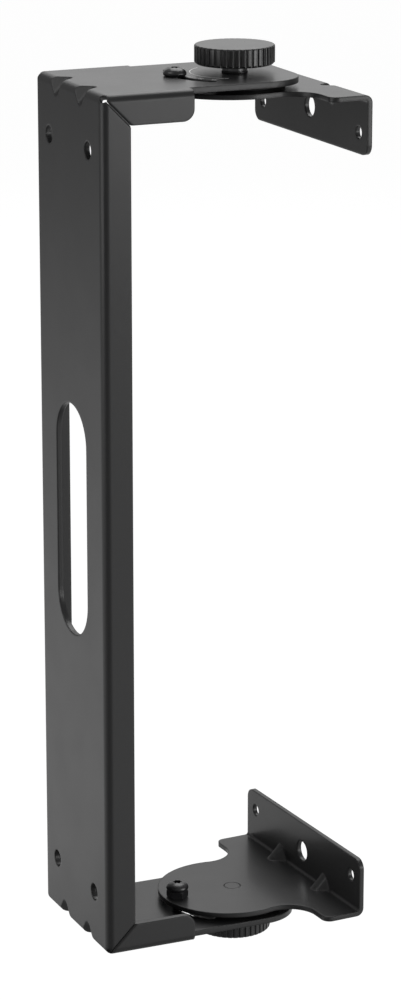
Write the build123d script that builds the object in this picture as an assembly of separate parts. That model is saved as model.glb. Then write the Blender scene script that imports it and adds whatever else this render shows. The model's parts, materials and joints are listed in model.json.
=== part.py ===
from build123d import *
from math import cos, radians, sin, sqrt
import os

# Speaker wall bracket, in millimetres. X runs across it, +Y into the wall and +Z up.
# The origin is at the centre of the four wall holes, on the wall face.

# Wall bracket, folded from one sheet
bracket_height = 445.5       # over both arms
bracket_width = 87.0         # over the side flanges
bracket_sheet = 3.0
bracket_bend = 0.8           # inside radius of the folds
flange_depth = 15.4
arm_reach = 116.0            # wall face to the arm's nose
arm_flange_reach = 49.0      # wall face to the end of an arm's side flanges
arm_flange_corner = 6.0      # radius of the flanges' free corners
nose_step = 6.5              # arm narrows by this on each side, past its side flanges
nose_corner = 22.0
mitre_gap = 0.3              # slit between the flanges at each corner
mitre_edge = 0.9             # slant along the slit's outer edges
relief_diameter = 3.8        # round hole where three folds meet
wall_hole_side_inset = 18.0  # hole centres from the bracket's sides
wall_hole_end_inset = 29.25  # hole centres from the arms' outer faces
wall_hole_diameter = 9.0
cable_slot_width = 40.0
cable_slot_length = 122.0

# Pressed V gussets that stiffen the folds
arm_gusset_leg = 9.0         # from the fold's outer corner along each face
arm_gusset_width = 16.5      # along the fold
arm_gusset_nose = 4.5        # radius along the bottom of the dent
arm_gusset_spacing = 31.5
ear_gusset_leg = 9.0
ear_gusset_width = 13.5
ear_gusset_nose = 2.5
ear_gusset_spacing = 48.0

# Swivel joint between an arm and its swivel plate
pivot_inset = 26.0           # arm's nose to the pivot axis
upper_turn = 1.6             # degrees, swivel plates' turn at rest
lower_turn = 3.4
swivel_limit = 45.0          # degrees to each side
index_step = 15.0            # degrees between the pockets of the angle slot
index_pocket_diameter = 6.0
lock_radius = 33.0           # pivot axis to the lock screw
friction_washer_margin = 4.4  # washer's edge to the slot's pockets
friction_washer_thickness = 2.7

# Swivel plate, folded from one sheet
plate_sheet = 2.5
plate_bend = 1.5             # inside radius of the fold
disc_margin = 7.2            # lock screw's axis to the disc's edge
disc_offset = 3.3            # disc centre from the pivot, towards the wall
ear_length = 124.5
ear_start = 22.4             # pivot axis to the ear bar's inner edge
ear_reach = 45.0             # pivot axis to the ear flange's outer face
ear_height = 30.6            # ear flange, over the fold
ear_plate_corner = 4.5
ear_flange_corner = 5.5
ear_neck_radius = 15.0       # hollow corner between disc and ear bar
ear_bolt_inset = 9.5         # hole centres from the flange's ends
ear_bolt_diameter = 6.5
ear_bolt_edge = 10.7         # hole centres from the flange's free edge
ear_centre_diameter = 11.0
ear_centre_edge = 16.0

# Pivot stud, pressed flush into the swivel plate
stud_diameter = 8.0
stud_head_diameter = 8.8
stud_head_thickness = 1.5
stud_head_chamfer = 0.15
stud_end_gap = 0.5           # stud's end to the blind end of the knob
stud_chamfer = 1.0

# Clamping knob, with its bush and washer, as heights above the arm
knob_diameter = 40.5
knob_top = 13.8
knob_rim_bottom = 4.3
knob_rim_chamfer = 1.0
knob_edge_chamfer = 0.5
knob_ribs = 40
knob_groove_diameter = 1.6
knob_rim_wall = 3.5
knob_crown_thickness = 3.0
knob_hub_diameter = 18.0
knob_hub_rise = 0.5          # hub's foot above the rim's lower edge
knob_spokes = 6
knob_spoke_thickness = 2.0
bush_collar_diameter = 12.6
bush_hexagon = 10.8          # across the flats, inside the knob
bush_top_cover = 2.5         # knob material over the bush's end
knob_washer_diameter = 13.2
knob_washer_thickness = 0.8

# Lock screw with a star recess, and its nut
lock_screw_diameter = 5.0
lock_screw_end = 0.7         # screw's end past the nut, or past the lower arm
lock_head_diameter = 11.8
lock_head_height = 4.6
lock_head_belly = 1.4        # height of the head's widest place
lock_star_diameter = 4.8
lock_star_lobe_diameter = 1.3
lock_star_depth = 2.2
lock_tip_chamfer = 0.7
lock_nut_flats = 10.0
lock_nut_height = 4.0
lock_nut_chamfer = 0.6

# Clearances, on the radius
press_clearance = 0.02
thread_clearance = 0.1
pivot_clearance = 0.1
slot_clearance = 0.2
loose_clearance = 0.3

# Levels and places worked out from the sizes above
arm_outer = bracket_height / 2
arm_inner = arm_outer - bracket_sheet
plate_outer = arm_inner - friction_washer_thickness
plate_inner = plate_outer - plate_sheet
ear_edge = plate_outer - ear_height
ear_inner = ear_reach - plate_sheet
half_width = bracket_width / 2
pivot_setback = arm_reach - pivot_inset
pivot = Pos(0, -pivot_setback, 0)
lock_place = Pos(0, lock_radius, 0)
friction_washer_radius = lock_radius - index_pocket_diameter / 2 - friction_washer_margin
disc_radius = lock_radius + disc_margin - disc_offset
bush_top = knob_top - bush_top_cover
lock_stack = bracket_sheet + friction_washer_thickness + plate_sheet + lock_nut_height
through = bracket_height + bracket_width + arm_reach  # longer than any cut
same_place = 0.01            # how near an edge or corner lies to the place it is looked for


def at_height(level):
    return Pos(0, 0, level)


def upright(diameter, bottom, top):
    # upright cylinder, as a solid or a hole
    standing = (Align.CENTER, Align.CENTER, Align.MIN)
    return at_height(bottom) * Cylinder(diameter / 2, top - bottom, align=standing)


def across_hole(diameter, x, z):
    # cylinder along Y, long enough for any wall
    return Pos(x, 0, z) * Rot(90, 0, 0) * Cylinder(diameter / 2, through)


def gusset_bar(leg, width, nose, spread):
    # bar along Z with a rounded V nose towards +Y, spread outwards by a wall
    half = width / 2
    nose_centre = leg / sqrt(2) - nose
    # slope of the walls from the width's ends that just touch the nose
    reach = sqrt(half**2 + nose_centre**2 - nose**2)
    slope = (half * nose_centre + nose * reach) / (half**2 - nose**2)
    section = Polygon((0, slope * half), (width, -slope * half), (-width, -slope * half), align=None)
    section = fillet(section.vertices().sort_by(Axis.Y)[-1], nose)
    if spread:
        section = offset(section, spread)
    return extrude(section, 2 * leg, both=True)


def press_gussets(body, block, spacing, leg, width, nose, corner_y, corner_z, inward_y, inward_z, sheet):
    # bars laid across the fold at 45 degrees: the dent in its outer side stands out by a sheet's thickness
    # on its inner side, where the block that reaches to the middle of the sheet carries it
    for x in (-spacing / 2, spacing / 2):
        place = Plane(origin=(x, corner_y, corner_z), x_dir=(1, 0, 0), z_dir=(0, -inward_z, inward_y))
        body += place * gusset_bar(leg, width, nose, sheet) & block
        body -= place * gusset_bar(leg, width, nose, 0)
    return body


def folded_tray(width, height, back, radius):
    # block open to the room, with its back and side corners rounded
    block = Pos(0, back, 0) * Box(width, through, height, align=(Align.CENTER, Align.MAX, Align.CENTER))
    room_face = block.faces().sort_by(Axis.Y)[0]
    kept_sharp = room_face.edges()
    rounded = [edge for edge in block.edges() if edge not in kept_sharp]
    return fillet(rounded, radius)


def arm_plan():
    wide = Pos(0, -arm_flange_reach / 2) * Rectangle(bracket_width, arm_flange_reach)
    nose = Pos(0, -arm_reach / 2) * Rectangle(bracket_width - 2 * nose_step, arm_reach)
    nose = fillet(nose.vertices().group_by(Axis.Y)[0], nose_corner)
    return wide + nose


def angle_slot():
    # arc slot for the lock screw, with a round pocket at each step of the angle scale
    neck = lock_screw_diameter + 2 * slot_clearance
    centre_line = CenterArc((0, 0), lock_radius, 90 - swivel_limit, 2 * swivel_limit)
    slot = SlotArc(centre_line, neck)
    steps = int(swivel_limit / index_step)
    for step in range(-steps, steps + 1):
        angle = radians(90 + step * index_step)
        slot += Pos(lock_radius * cos(angle), lock_radius * sin(angle)) * Circle(index_pocket_diameter / 2)
    return slot


def wall_bracket():
    outside = folded_tray(bracket_width, bracket_height, 0, bracket_bend + bracket_sheet)
    inside_width = bracket_width - 2 * bracket_sheet
    inside_height = bracket_height - 2 * bracket_sheet
    body = outside - folded_tray(inside_width, inside_height, -bracket_sheet, bracket_bend)
    body &= extrude(arm_plan(), bracket_height, both=True)

    # side flanges end here, and an arm's flange has a round free corner
    window_half = arm_outer - flange_depth
    window = Box(through, through, 2 * window_half, align=(Align.CENTER, Align.MAX, Align.CENTER))
    body -= Pos(0, -flange_depth, 0) * window
    corners = [
        edge
        for edge in body.edges().filter_by(Axis.X)
        if abs(edge.center().Y + arm_flange_reach) < same_place
        and abs(abs(edge.center().Z) - window_half) < same_place
    ]
    body = fillet(corners, arm_flange_corner)

    # mitre slits with slanted outer edges, and relief holes, at the four corners
    slit_length = 2 * sqrt(2) * flange_depth
    slant = Rot(0, 45, 0) * Box(sqrt(2) * mitre_edge, slit_length, sqrt(2) * mitre_edge)
    for up in (1, -1):
        slit_place = Pos(0, -flange_depth / 2, up * (arm_outer - flange_depth / 2)) * Rot(up * 45, 0, 0)
        for side in (1, -1):
            slit_start = half_width - bracket_sheet - bracket_bend
            slit = Pos(side * (through / 2 + slit_start), 0, 0) * Box(through, slit_length, mitre_gap)
            body -= slit_place * slit
            body -= slit_place * Pos(side * half_width, 0, 0) * slant
            corner = Vector(side * half_width, 0, up * arm_outer)
            drill = Plane(origin=corner, z_dir=(side, 1, up)) * Cylinder(relief_diameter / 2, through)
            body -= drill

    block_width = bracket_width - bracket_sheet
    block_height = bracket_height - bracket_sheet
    block = folded_tray(block_width, block_height, -bracket_sheet / 2, bracket_bend + bracket_sheet / 2)
    dent = (arm_gusset_spacing, arm_gusset_leg, arm_gusset_width, arm_gusset_nose)
    for up in (1, -1):
        body = press_gussets(body, block, *dent, 0, up * arm_outer, -1, -up, bracket_sheet)

    hole_x = half_width - wall_hole_side_inset
    hole_z = arm_outer - wall_hole_end_inset
    for x in (-hole_x, hole_x):
        for z in (-hole_z, hole_z):
            body -= across_hole(wall_hole_diameter, x, z)
    slot = extrude(SlotOverall(cable_slot_length, cable_slot_width, rotation=90), flange_depth, both=True)
    body -= Rot(90, 0, 0) * slot
    pivot_hole = upright(stud_diameter + 2 * pivot_clearance, -bracket_height, bracket_height)
    body -= pivot * pivot_hole
    body -= pivot * extrude(angle_slot(), bracket_height, both=True)
    return body


def plate_plan():
    # seen from above, with the pivot at the origin
    disc = Pos(0, disc_offset) * Circle(disc_radius)
    ear_depth = ear_reach - ear_start
    bar = Pos(0, -ear_start - ear_depth / 2) * Rectangle(ear_length, ear_depth)
    bar = fillet(bar.vertices().group_by(Axis.Y)[-1], ear_plate_corner)
    plan = disc + bar
    neck_x = sqrt(disc_radius**2 - (ear_start + disc_offset) ** 2)
    necks = [
        corner
        for corner in plan.vertices()
        if abs(corner.Y + ear_start) < same_place and abs(abs(corner.X) - neck_x) < same_place
    ]
    return fillet(necks, ear_neck_radius)


def round_fold(body, reach, level, radius):
    fold = [
        edge
        for edge in body.edges().filter_by(Axis.X)
        if abs(edge.center().Y + reach) < same_place and abs(edge.center().Z - level) < same_place
    ]
    return fillet(fold, radius)


def ear_block():
    # solid corner behind the ear's fold, up to the middle of the sheet
    reach = ear_reach - plate_sheet / 2
    level = plate_outer - plate_sheet / 2
    block = Box(ear_length, ear_reach, ear_height, align=(Align.CENTER, Align.MIN, Align.MAX))
    block = Pos(0, -reach, level) * block
    return round_fold(block, reach, level, plate_bend + plate_sheet / 2)


def swivel_plate():
    body = at_height(plate_inner) * extrude(plate_plan(), plate_sheet)
    front = Plane(origin=(0, -ear_reach, 0), x_dir=(1, 0, 0), z_dir=(0, 1, 0))
    outline = Pos(0, -(plate_outer + ear_edge) / 2) * Rectangle(ear_length, ear_height)
    lower_edge = outline.vertices().group_by(Axis.Y)[-1]
    body += extrude(front * fillet(lower_edge, ear_flange_corner), plate_sheet)

    body = round_fold(body, ear_inner, plate_inner, plate_bend)
    body = round_fold(body, ear_reach, plate_outer, plate_bend + plate_sheet)
    dent = (ear_gusset_spacing, ear_gusset_leg, ear_gusset_width, ear_gusset_nose)
    body = press_gussets(body, ear_block(), *dent, -ear_reach, plate_outer, 1, -1, plate_sheet)

    bolt_x = ear_length / 2 - ear_bolt_inset
    for x in (-bolt_x, bolt_x):
        body -= across_hole(ear_bolt_diameter, x, ear_edge + ear_bolt_edge)
    body -= across_hole(ear_centre_diameter, 0, ear_edge + ear_centre_edge)
    body -= upright(stud_diameter + 2 * press_clearance, plate_inner, plate_outer)
    seat_top = plate_inner + stud_head_thickness
    body -= upright(stud_head_diameter + 2 * press_clearance, plate_inner, seat_top)
    lock_hole = upright(lock_screw_diameter + 2 * thread_clearance, plate_inner, plate_outer)
    body -= lock_place * lock_hole
    return body


def pivot_stud():
    top = arm_outer + bush_top - stud_end_gap
    head = upright(stud_head_diameter, plate_inner, plate_inner + stud_head_thickness)
    head = chamfer(head.edges().group_by(Axis.Z)[0], stud_head_chamfer)
    shank = upright(stud_diameter, plate_inner, top)
    end = shank.edges().group_by(Axis.Z)[-1]
    return head + chamfer(end, stud_chamfer)


def friction_washer():
    disc = upright(2 * friction_washer_radius, plate_outer, arm_inner)
    bore = upright(stud_diameter + 2 * loose_clearance, plate_outer, arm_inner)
    return disc - bore


def knob_washer():
    top = arm_outer + knob_washer_thickness
    disc = upright(knob_washer_diameter, arm_outer, top)
    return disc - upright(stud_diameter + 2 * loose_clearance, arm_outer, top)


def bush_shape(clearance):
    # round collar below the knob, and a hexagon that the knob is moulded round
    collar_top = knob_rim_bottom + knob_hub_rise
    collar = upright(bush_collar_diameter, knob_washer_thickness, collar_top)
    hexagon = RegularPolygon(bush_hexagon / 2 + clearance, 6, major_radius=False)
    return collar + at_height(collar_top) * extrude(hexagon, bush_top - collar_top + clearance)


def knob_bush():
    body = bush_shape(0) - upright(stud_diameter + 2 * thread_clearance, 0, knob_top)
    return at_height(arm_outer) * body


def knob():
    radius = knob_diameter / 2
    outline = Circle(radius) - PolarLocations(radius, knob_ribs) * Circle(knob_groove_diameter / 2)
    rim_height = knob_top - knob_rim_bottom
    ribbed = at_height(knob_rim_bottom) * extrude(outline, rim_height)
    form = upright(knob_diameter + knob_groove_diameter, knob_rim_bottom, knob_top)
    rim_edges = form.edges().filter_by(GeomType.CIRCLE).sort_by(Axis.Z)
    form = chamfer(rim_edges[0], knob_rim_chamfer + knob_groove_diameter / 2)
    top_edge = form.edges().filter_by(GeomType.CIRCLE).sort_by(Axis.Z)[-1]
    form = chamfer(top_edge, knob_edge_chamfer + knob_groove_diameter / 2)
    body = ribbed & form

    # hollow underside with a hub and spokes
    crown = knob_top - knob_crown_thickness
    hollow = upright(knob_diameter - 2 * knob_rim_wall, knob_rim_bottom, crown)
    hub_foot = knob_rim_bottom + knob_hub_rise
    hub = upright(knob_hub_diameter, hub_foot, crown)
    spoke_length = radius - knob_rim_wall
    outwards = (Align.MIN, Align.CENTER, Align.MIN)
    spoke = Box(spoke_length, knob_spoke_thickness, crown - hub_foot, align=outwards)
    spokes = [at_height(hub_foot) * place * spoke for place in PolarLocations(0, knob_spokes)]
    for solid in spokes:
        hub += solid
    body -= hollow - hub
    body -= bush_shape(press_clearance)
    return at_height(arm_outer) * body


def lock_screw():
    # domed head seated on z = 0, with its shank below
    wide = lock_head_diameter / 2
    foot = wide - lock_head_belly
    outline = [
        Line((0, 0), (foot, 0)),
        CenterArc((foot, lock_head_belly), lock_head_belly, -90, 90),
        EllipticalCenterArc((0, lock_head_belly), wide, lock_head_height - lock_head_belly, arc_size=90),
        Line((0, lock_head_height), (0, 0)),
    ]
    profile = Plane.XZ * make_face(outline)
    head = revolve(profile, Axis.Z)
    lobe_place = (lock_star_diameter - lock_star_lobe_diameter) / 2
    star = Circle(lobe_place) + PolarLocations(lobe_place, 6) * Circle(lock_star_lobe_diameter / 2)
    head -= at_height(lock_head_height - lock_star_depth) * extrude(star, lock_head_height)
    shank = upright(lock_screw_diameter, -lock_stack - lock_screw_end, 0)
    tip = shank.edges().group_by(Axis.Z)[0]
    return head + chamfer(tip, lock_tip_chamfer)


def lock_nut():
    blank = extrude(RegularPolygon(lock_nut_flats / 2, 6, major_radius=False), lock_nut_height)
    corner_radius = lock_nut_flats / sqrt(3)
    form = upright(2 * corner_radius, 0, lock_nut_height)
    form = chamfer(form.edges().filter_by(GeomType.CIRCLE), lock_nut_chamfer)
    bore = upright(lock_screw_diameter + 2 * thread_clearance, 0, lock_nut_height)
    body = (blank & form) - bore
    return lock_place * at_height(plate_inner - lock_nut_height) * body


def save(name, body):
    solids = body.solids()
    shape = solids[0] if len(solids) == 1 else Compound(children=solids)
    shape.label = name
    export_step(shape, f"parts/{name}.step")


os.makedirs("parts", exist_ok=True)
save("wall_bracket", wall_bracket())
turning_pieces = {
    "swivel_plate": swivel_plate(),
    "pivot_stud": pivot_stud(),
    "friction_washer": friction_washer(),
    "knob_washer": knob_washer(),
    "knob_bush": knob_bush(),
    "knob": knob(),
    "lock_nut": lock_nut(),
}

# both lock screws are put in from above: on the upper arm, and on the lower plate's nut
upper_seat = arm_outer
lower_seat = lock_nut_height - plate_inner
for side, turn, seat in (("upper", upper_turn, upper_seat), ("lower", lower_turn, lower_seat)):
    turned = pivot * Rot(0, 0, turn)
    for piece, body in turning_pieces.items():
        if side == "lower":
            body = mirror(body, about=Plane.XY)
        save(f"{side}_{piece}", turned * body)
    save(f"{side}_lock_screw", turned * lock_place * at_height(seat) * lock_screw())
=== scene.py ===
import json
import math
import bpy
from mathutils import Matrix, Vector


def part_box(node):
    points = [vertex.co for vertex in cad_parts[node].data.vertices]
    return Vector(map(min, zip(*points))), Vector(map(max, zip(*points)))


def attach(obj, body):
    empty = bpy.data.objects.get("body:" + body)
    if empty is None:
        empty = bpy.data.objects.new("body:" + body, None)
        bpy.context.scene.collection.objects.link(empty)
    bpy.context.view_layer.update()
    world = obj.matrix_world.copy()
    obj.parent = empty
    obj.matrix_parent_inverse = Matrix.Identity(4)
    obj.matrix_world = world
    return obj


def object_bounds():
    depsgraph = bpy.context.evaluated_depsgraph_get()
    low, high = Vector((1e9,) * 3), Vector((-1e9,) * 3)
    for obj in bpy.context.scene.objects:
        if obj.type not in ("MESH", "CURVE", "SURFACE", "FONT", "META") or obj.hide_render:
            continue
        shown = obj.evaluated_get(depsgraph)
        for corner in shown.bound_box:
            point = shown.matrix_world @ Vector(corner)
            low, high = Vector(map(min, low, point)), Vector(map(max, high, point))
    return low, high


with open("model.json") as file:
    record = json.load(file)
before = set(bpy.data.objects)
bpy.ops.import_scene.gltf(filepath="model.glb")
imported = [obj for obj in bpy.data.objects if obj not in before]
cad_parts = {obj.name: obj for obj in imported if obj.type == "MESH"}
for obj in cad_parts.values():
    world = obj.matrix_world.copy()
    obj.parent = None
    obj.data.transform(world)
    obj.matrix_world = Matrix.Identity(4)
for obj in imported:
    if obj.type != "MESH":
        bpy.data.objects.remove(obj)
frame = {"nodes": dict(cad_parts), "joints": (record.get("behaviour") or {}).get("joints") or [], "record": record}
nodes = frame["nodes"]
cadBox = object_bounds()


# small helpers for shader trees

def newMaterial(name):
    material = bpy.data.materials.new(name)
    material.use_nodes = True
    tree = material.node_tree
    shader = tree.nodes["Principled BSDF"]
    return material, tree, shader


def addNode(tree, kind, **settings):
    node = tree.nodes.new(kind)
    for key, value in settings.items():
        setattr(node, key, value)
    return node


def objectSpace(tree):
    return addNode(tree, "ShaderNodeTexCoord").outputs["Object"]


def noise(tree, space, scale, detail, roughness):
    texture = addNode(tree, "ShaderNodeTexNoise")
    texture.inputs["Scale"].default_value = scale
    texture.inputs["Detail"].default_value = detail
    texture.inputs["Roughness"].default_value = roughness
    tree.links.new(space, texture.inputs["Vector"])
    return texture.outputs["Fac"]


def maths(tree, operation, *terms):
    # a term is another node's output or a plain number
    node = addNode(tree, "ShaderNodeMath", operation=operation)
    for socket, term in zip(node.inputs, terms):
        if isinstance(term, bpy.types.NodeSocket):
            tree.links.new(term, socket)
        else:
            socket.default_value = term
    return node.outputs[0]


def spread(tree, value, low, high, start=0.0, end=1.0, blend="LINEAR"):
    # stretches a value from one range over another
    ramp = addNode(tree, "ShaderNodeMapRange", interpolation_type=blend)
    ramp.inputs["From Min"].default_value = start
    ramp.inputs["From Max"].default_value = end
    ramp.inputs["To Min"].default_value = low
    ramp.inputs["To Max"].default_value = high
    tree.links.new(value, ramp.inputs["Value"])
    return ramp.outputs["Result"]


bevelSamples = 8


def roundedNormal(tree, radius):
    bevel = addNode(tree, "ShaderNodeBevel", samples=bevelSamples)
    bevel.inputs["Radius"].default_value = radius
    return bevel.outputs["Normal"]


def bump(tree, height, distance, strength, normal):
    node = addNode(tree, "ShaderNodeBump")
    node.inputs["Strength"].default_value = strength
    node.inputs["Distance"].default_value = distance
    tree.links.new(height, node.inputs["Height"])
    tree.links.new(normal, node.inputs["Normal"])
    return node.outputs["Normal"]


def tint(tree, value, dark, light):
    # two shades of one colour, mixed by a 0..1 value
    mix = addNode(tree, "ShaderNodeMix", data_type="RGBA")
    mix.inputs["A"].default_value = (*dark, 1.0)
    mix.inputs["B"].default_value = (*light, 1.0)
    tree.links.new(value, mix.inputs["Factor"])
    return mix.outputs["Result"]


# finishes: each noise is given as scale per metre, detail and roughness, and lengths are in metres

powderCoat = {
    "dark": (0.0175, 0.0175, 0.018),
    "light": (0.0225, 0.0225, 0.023),
    "roughness": (0.33, 0.43),
    "ior": 1.5,
    "cloud": (35, 3.0, 0.5),
    "grain": (1500, 3.0, 0.6),
    "grainDepth": 0.00005,
    "grainStrength": 0.5,
    "speckle": (4200, 2.0, 0.5),
    "sheen": 0.2,               # thin smoother skin over the grain
    "sheenRoughness": 0.16,
    "edge": 0.0014,             # rounding of sharp edges
}


def makePowderCoat(look):
    material, tree, shader = newMaterial("powder_coat")
    space = objectSpace(tree)
    cloud = noise(tree, space, *look["cloud"])
    grain = noise(tree, space, *look["grain"])
    speckle = noise(tree, space, *look["speckle"])
    tree.links.new(tint(tree, speckle, look["dark"], look["light"]), shader.inputs["Base Color"])
    tree.links.new(spread(tree, cloud, *look["roughness"]), shader.inputs["Roughness"])
    rounded = roundedNormal(tree, look["edge"])
    rough = bump(tree, grain, look["grainDepth"], look["grainStrength"], rounded)
    tree.links.new(rough, shader.inputs["Normal"])
    shader.inputs["IOR"].default_value = look["ior"]
    shader.inputs["Coat Weight"].default_value = look["sheen"]
    shader.inputs["Coat Roughness"].default_value = look["sheenRoughness"]
    return material


knobPlastic = {
    "dark": (0.018, 0.018, 0.0185),
    "light": (0.024, 0.024, 0.0245),
    "roughness": (0.19, 0.26),
    "ior": 1.6,
    "crown": 0.0131,            # height above the arm where the knob's flat end starts
    "crownRoughness": 0.06,     # added to the roughness there
    "cloud": (120, 3.0, 0.5),
    "grain": (2600, 2.0, 0.5),
    "grainDepth": 0.00001,
    "grainStrength": 0.4,
    "seam": 0.0091,             # height of the mould's parting line above the arm
    "seamWidth": 0.0002,
    "seamDepth": 0.00012,
    "seamStrength": 0.6,
    "edge": 0.00025,
}


def makeKnobPlastic(look):
    material, tree, shader = newMaterial("knob_plastic")
    space = objectSpace(tree)
    cloud = noise(tree, space, *look["cloud"])
    grain = noise(tree, space, *look["grain"])
    tree.links.new(tint(tree, cloud, look["dark"], look["light"]), shader.inputs["Base Color"])
    # heights count from the middle of the bracket, so both knobs get the same marks
    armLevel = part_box("wall_bracket")[1].z
    parts = addNode(tree, "ShaderNodeSeparateXYZ")
    tree.links.new(space, parts.inputs[0])
    height = maths(tree, "ABSOLUTE", parts.outputs["Z"])
    crown = maths(tree, "GREATER_THAN", height, armLevel + look["crown"])
    plain = spread(tree, cloud, *look["roughness"])
    rough = maths(tree, "MULTIPLY_ADD", crown, look["crownRoughness"], plain)
    tree.links.new(rough, shader.inputs["Roughness"])
    # parting line: a fine ridge round the rim at one height
    seam = maths(tree, "COMPARE", height, armLevel + look["seam"], look["seamWidth"])
    rounded = roundedNormal(tree, look["edge"])
    ridge = bump(tree, seam, look["seamDepth"], look["seamStrength"], rounded)
    grained = bump(tree, grain, look["grainDepth"], look["grainStrength"], ridge)
    tree.links.new(grained, shader.inputs["Normal"])
    shader.inputs["IOR"].default_value = look["ior"]
    return material


blackSteel = {
    "dark": (0.010, 0.010, 0.011),
    "light": (0.018, 0.018, 0.019),
    "roughness": (0.26, 0.38),
    "cloud": (400, 4.0, 0.6),
    "edge": 0.0003,
    "sockets": {"IOR": 1.7},
}

turnedSteel = {
    "dark": (0.26, 0.26, 0.265),
    "light": (0.36, 0.36, 0.365),
    "roughness": (0.14, 0.22),
    "cloud": (500, 3.0, 0.5),
    "edge": 0.0003,
    "sockets": {"Metallic": 1.0},
}

frictionDisc = {
    "dark": (0.009, 0.009, 0.009),
    "light": (0.013, 0.013, 0.013),
    "roughness": (0.5, 0.6),
    "cloud": (300, 3.0, 0.5),
}

scaleInk = {
    "dark": (0.74, 0.74, 0.74),     # where the print is thin
    "light": (0.90, 0.90, 0.90),
    "roughness": (0.45, 0.6),
    "cloud": (900, 3.0, 0.5),
}


def makeFinish(name, look):
    # one cloudy noise moves both the shade and the gloss
    material, tree, shader = newMaterial(name)
    cloud = noise(tree, objectSpace(tree), *look["cloud"])
    tree.links.new(tint(tree, cloud, look["dark"], look["light"]), shader.inputs["Base Color"])
    tree.links.new(spread(tree, cloud, *look["roughness"]), shader.inputs["Roughness"])
    if "edge" in look:
        tree.links.new(roundedNormal(tree, look["edge"]), shader.inputs["Normal"])
    for socket, value in look.get("sockets", {}).items():
        shader.inputs[socket].default_value = value
    return material


finishes = {
    "powder_coat": makePowderCoat(powderCoat),
    "knob_plastic": makeKnobPlastic(knobPlastic),
    "black_steel": makeFinish("black_steel", blackSteel),
    "friction_disc": makeFinish("friction_disc", frictionDisc),
}
for part in frame["record"]["subparts"]:
    nodes[part["node"]].data.materials.clear()
    nodes[part["node"]].data.materials.append(finishes[part["material_slot"]])
bareSteel = makeFinish("turned_steel", turnedSteel)
for bush in ("upper_knob_bush", "lower_knob_bush"):
    nodes[bush].data.materials[0] = bareSteel     # the hub's turned face is left bright
print("finishes made:", ", ".join(finishes), "and turned_steel")


# printed angle scale round the pivot, on the outer face of both arms

scalePrint = {
    "arcRadius": 0.0225,
    "arcWidth": 0.00055,
    "arcReach": 58,             # degrees to each side of the middle
    "arcSteps": 58,
    "numberRadius": 0.0285,
    "numberSize": 0.0030,
    "numberStep": 15,           # degrees
    "numberLast": 45,
    "thickness": 0.00003,       # of the ink
    "mergeWithin": 1e-7,
}


def pickOnly(*objects):
    bpy.ops.object.select_all(action="DESELECT")
    for thing in objects:
        thing.select_set(True)
    bpy.context.view_layer.objects.active = objects[-1]


def addNumber(look, angle):
    bpy.ops.object.text_add()
    number = bpy.context.object
    number.data.body = str(abs(angle))
    number.data.size = look["numberSize"]
    number.data.align_x = "CENTER"
    number.data.align_y = "CENTER"
    number.data.extrude = look["thickness"] / 2
    pickOnly(number)
    bpy.ops.object.convert(target="MESH")
    number = bpy.context.object
    turn = math.radians(angle)
    radius = look["numberRadius"]
    number.rotation_euler.z = turn
    number.location = (-math.sin(turn) * radius, math.cos(turn) * radius, 0)
    bpy.ops.object.transform_apply(location=True, rotation=True, scale=True)
    return number


def addArc(look):
    # a small upright face at the arc's start, spun round the pivot
    bpy.ops.mesh.primitive_plane_add(size=1, rotation=(math.pi / 2, 0, 0))
    arc = bpy.context.object
    arc.scale = (look["arcWidth"], look["thickness"], 1)
    pickOnly(arc)
    bpy.ops.object.transform_apply(location=True, rotation=True, scale=True)
    arc.location.x = look["arcRadius"]
    bpy.ops.object.transform_apply(location=True, rotation=False, scale=False)
    arc.rotation_euler.z = math.radians(90 + look["arcReach"])    # spin goes clockwise from here
    bpy.ops.object.transform_apply(location=False, rotation=True, scale=False)
    sweep = math.radians(2 * look["arcReach"])
    bpy.ops.object.mode_set(mode="EDIT")
    bpy.ops.mesh.select_all(action="SELECT")
    bpy.ops.mesh.spin(steps=look["arcSteps"], angle=sweep, center=(0, 0, 0), axis=(0, 0, 1))
    bpy.ops.mesh.select_all(action="SELECT")
    bpy.ops.mesh.remove_doubles(threshold=look["mergeWithin"])
    bpy.ops.mesh.normals_make_consistent(inside=False)
    bpy.ops.object.mode_set(mode="OBJECT")
    return arc


def makeScale(look, side, up, pivot, level, ink):
    steps = range(-look["numberLast"], look["numberLast"] + 1, look["numberStep"])
    marks = [addNumber(look, angle) for angle in steps] + [addArc(look)]
    pickOnly(*marks)
    bpy.ops.object.join()
    scale = bpy.context.object
    scale.name = side + "_scale_print"
    if up < 0:
        scale.rotation_euler.y = math.pi      # readable from below
    scale.location = (pivot.x, pivot.y, level + up * look["thickness"] / 2)
    pickOnly(scale)
    bpy.ops.object.transform_apply(location=True, rotation=True, scale=True)
    scale.data.materials.clear()
    scale.data.materials.append(ink)
    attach(scale, "bracket")


armLow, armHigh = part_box("wall_bracket")
hinges = [joint for joint in frame["joints"] if joint["type"] == "hinge"]
pivots = {joint["name"]: Vector(joint["pos_m"]) for joint in hinges}
ink = makeFinish("scale_ink", scaleInk)
makeScale(scalePrint, "upper", 1, pivots["upper_swivel_turn"], armHigh.z, ink)
makeScale(scalePrint, "lower", -1, pivots["lower_swivel_turn"], armLow.z, ink)
print("angle scales printed")


# camera at the photograph's place, long lens, no shift

viewpoint = {
    "place": (-1.56006, 0.62164, 0.48913),
    "yaw": 66.048,              # degrees, turned from looking along -Y towards +X
    "pitch": 15.925,            # degrees, looking down
    "lens": 123.94,
    "sensor": 36.0,
    "clip": (0.05, 100),
}


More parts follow.
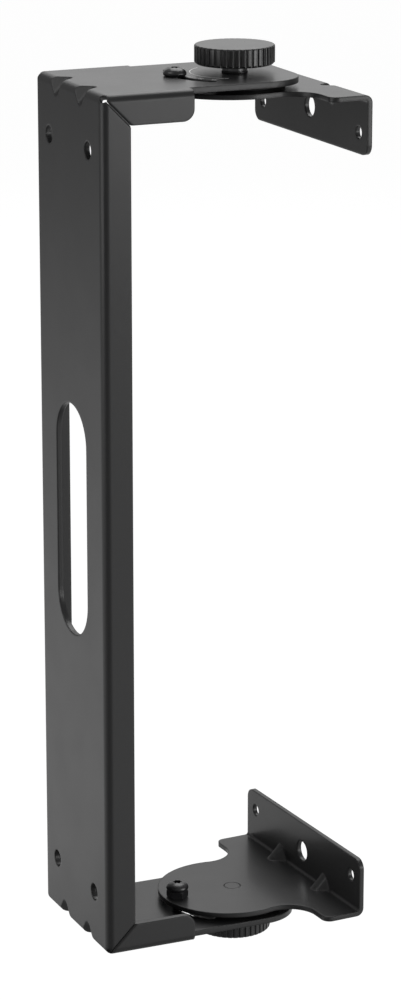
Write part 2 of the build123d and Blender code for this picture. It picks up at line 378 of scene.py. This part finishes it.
def makeCamera(look):
    yaw, pitch = math.radians(look["yaw"]), math.radians(look["pitch"])
    level = math.cos(pitch)
    sight = Vector((math.sin(yaw) * level, -math.cos(yaw) * level, -math.sin(pitch)))
    bpy.ops.object.camera_add(location=look["place"])
    camera = bpy.context.object
    camera.rotation_mode = "QUATERNION"
    camera.rotation_quaternion = sight.to_track_quat("-Z", "Y")
    camera.data.lens = look["lens"]
    camera.data.sensor_width = look["sensor"]
    camera.data.clip_start, camera.data.clip_end = look["clip"]
    bpy.context.scene.camera = camera


makeCamera(viewpoint)
print("camera set")


# studio: pale floor, dim room and soft lamps

def rayKinds(tree):
    # 1 for rays from the lens or through clear parts, and 1 for rays from gloss
    path = addNode(tree, "ShaderNodeLightPath").outputs
    seen = maths(tree, "MAXIMUM", path["Is Camera Ray"], path["Is Transmission Ray"])
    return seen, path["Is Glossy Ray"]


def mixShader(tree, factor, off, on):
    mix = addNode(tree, "ShaderNodeMixShader")
    tree.links.new(factor, mix.inputs[0])
    tree.links.new(off.outputs[0], mix.inputs[1])
    tree.links.new(on.outputs[0], mix.inputs[2])
    return mix


paperFloor = {
    "drop": 0.20,               # metres below the object's lowest point
    "size": 40.0,
    "paper": (0.86, 0.86, 0.86),
    "glow": 0.95,               # floor as the lens sees it, before the lamps add to it
    "shade": (0.12, 0.12, 0.12),
}

# the floor in gloss is a painted reflection: a painted pool of light round the object, painted shade on one side
# and a painted shadow under it; distances from the object's middle in metres, and brightness
floorGloss = {
    "near": 0.5,
    "nearGlow": 0.78,
    "far": 4.0,
    "farGlow": 0.18,
    "underInner": 0.30,         # inside this radius a painted shadow dims the floor in gloss
    "underOuter": 0.65,
    "underShare": 0.35,
    "litSide": (0.766, -0.643, 0),
    "dimCosine": -0.95,         # turned this far from the lit side the floor has painted shade
    "litCosine": -0.45,
    "dimShare": 0.20,
}


def floorAsSeen(tree, look):
    # near white, and it still takes the object's shadow
    shade = addNode(tree, "ShaderNodeBsdfDiffuse")
    shade.inputs["Color"].default_value = (*look["shade"], 1.0)
    glow = addNode(tree, "ShaderNodeEmission")
    glow.inputs["Strength"].default_value = look["glow"]
    white = addNode(tree, "ShaderNodeAddShader")
    tree.links.new(shade.outputs[0], white.inputs[0])
    tree.links.new(glow.outputs[0], white.inputs[1])
    return white


def floorInGloss(tree, look):
    # painted light in gloss: a painted pool of light round the object, falling off away from it, a painted shadow
    # below it and painted shade on one side
    ground = objectSpace(tree)
    length = addNode(tree, "ShaderNodeVectorMath", operation="LENGTH")
    tree.links.new(ground, length.inputs[0])
    away = length.outputs["Value"]
    bearing = addNode(tree, "ShaderNodeVectorMath", operation="NORMALIZE")
    tree.links.new(ground, bearing.inputs[0])
    facing = addNode(tree, "ShaderNodeVectorMath", operation="DOT_PRODUCT")
    tree.links.new(bearing.outputs["Vector"], facing.inputs[0])
    facing.inputs[1].default_value = look["litSide"]
    cosine = facing.outputs["Value"]
    # painted pool of light, brightest near the object
    falling = spread(tree, away, look["nearGlow"], look["farGlow"],
                     look["near"], look["far"], "SMOOTHSTEP")
    # painted shade on the side away from the lamps
    sided = spread(tree, cosine, look["dimShare"], 1.0, look["dimCosine"], look["litCosine"])
    # painted shadow on the floor under the object
    paintedShadowUnder = spread(tree, away, look["underShare"], 1.0, look["underInner"], look["underOuter"])
    strength = maths(tree, "MULTIPLY", maths(tree, "MULTIPLY", falling, sided), paintedShadowUnder)
    gloss = addNode(tree, "ShaderNodeEmission")
    tree.links.new(strength, gloss.inputs["Strength"])
    return gloss


def makeFloor(look, glossLook, lowest):
    bpy.ops.mesh.primitive_plane_add(size=look["size"], location=(0, 0, lowest - look["drop"]))
    floor = bpy.context.object
    floor.name = "floor"
    material = bpy.data.materials.new("paper")
    material.use_nodes = True
    tree = material.node_tree
    tree.nodes.clear()
    plain = addNode(tree, "ShaderNodeBsdfDiffuse")
    plain.inputs["Color"].default_value = (*look["paper"], 1.0)
    seen, glossy = rayKinds(tree)
    mix = mixShader(tree, glossy, plain, floorInGloss(tree, glossLook))
    mix = mixShader(tree, seen, mix, floorAsSeen(tree, look))
    output = addNode(tree, "ShaderNodeOutputMaterial")
    tree.links.new(mix.outputs[0], output.inputs["Surface"])
    floor.data.materials.append(material)


room = {
    "light": 0.30,              # from the dim walls
    "gloss": 0.22,              # the walls in gloss
    "seen": 1.0,                # white beyond the floor
}


def makeRoom(look):
    world = bpy.data.worlds.new("room")
    bpy.context.scene.world = world
    world.use_nodes = True
    tree = world.node_tree
    tree.nodes.clear()
    shades = {}
    for kind, strength in look.items():
        shades[kind] = addNode(tree, "ShaderNodeBackground")
        shades[kind].inputs["Color"].default_value = (1, 1, 1, 1)
        shades[kind].inputs["Strength"].default_value = strength
    seen, glossy = rayKinds(tree)
    mix = mixShader(tree, glossy, shades["light"], shades["gloss"])
    mix = mixShader(tree, seen, mix, shades["seen"])
    output = addNode(tree, "ShaderNodeOutputWorld")
    tree.links.new(mix.outputs[0], output.inputs["Surface"])


lamps = {
    "top": {
        "place": (0.75, -0.62, 1.62),
        "aim": (0, -0.06, 0.2),
        "size": (1.3, 1.5),
        "watts": 15.4,
    },
    "back": {
        "place": (2.6, -1.15, 1.0),
        "aim": (0, -0.06, 0),
        "size": (2.6, 1.6),
        "watts": 8.0,
    },
    "side": {
        "place": (-1.34, -1.10, 0.15),
        "aim": (0, -0.05, 0.15),
        "size": (1.2, 0.6),
        "watts": 7.6,
    },
    "wall": {
        "place": (-0.16, 0.84, 1.07),
        "aim": (0, -0.05, 0.5),
        "size": (0.8, 0.65),
        "watts": 2.4,
    },
    "strip": {
        "place": (-0.23, 1.23, 0.03),
        "aim": (0, -0.09, 0.03),
        "size": (1.0, 0.35),
        "watts": 1.9,
    },
}


def makeLamp(name, look):
    bpy.ops.object.light_add(type="AREA", location=look["place"])
    lamp = bpy.context.object
    lamp.name = name
    sight = Vector(look["aim"]) - Vector(look["place"])
    lamp.rotation_mode = "QUATERNION"
    lamp.rotation_quaternion = sight.to_track_quat("-Z", "Y")
    lamp.data.shape = "RECTANGLE"
    lamp.data.size, lamp.data.size_y = look["size"]
    lamp.data.energy = look["watts"]
    lamp.visible_camera = False


makeFloor(paperFloor, floorGloss, cadBox[0].z)
makeRoom(room)
for lampName, lampLook in lamps.items():
    makeLamp(lampName, lampLook)
bpy.context.scene.view_settings.view_transform = "Standard"
print("studio lit by", len(lamps), "lamps")
